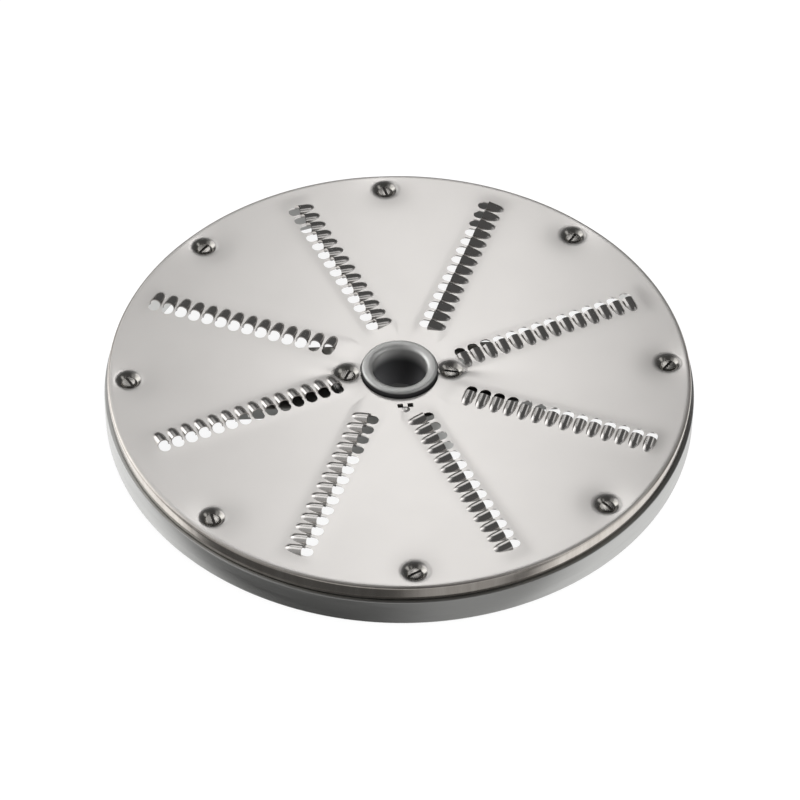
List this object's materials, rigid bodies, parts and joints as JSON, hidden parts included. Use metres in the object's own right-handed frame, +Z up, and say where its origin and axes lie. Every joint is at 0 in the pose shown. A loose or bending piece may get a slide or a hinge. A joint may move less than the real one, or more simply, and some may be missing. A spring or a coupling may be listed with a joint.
{
  "type": "food processor disc",
  "caption": "Round grating disc for a food processor: a stainless plate with radial rows of raised teeth, screwed to a cast aluminium body with a shaft bore in its hub.",
  "frame": {"origin": "centre of the disc's base, on the axis of the drive shaft", "axes": "+Z up along the shaft, out of the grating side; +X along the bar, through the two hub screws"},
  "size_m": [0.205, 0.205, 0.0187],
  "materials": {
    "cast_aluminium": "satin, turned rim on a casting",
    "stainless_sheet": "smooth, cold rolled sheet",
    "polished_steel": "polished"
  },
  "bodies": {
    "root": {"cast_body": "cast_aluminium", "grating_plate": "stainless_sheet", "screws": "polished_steel"}
  },
  "joints": []
}
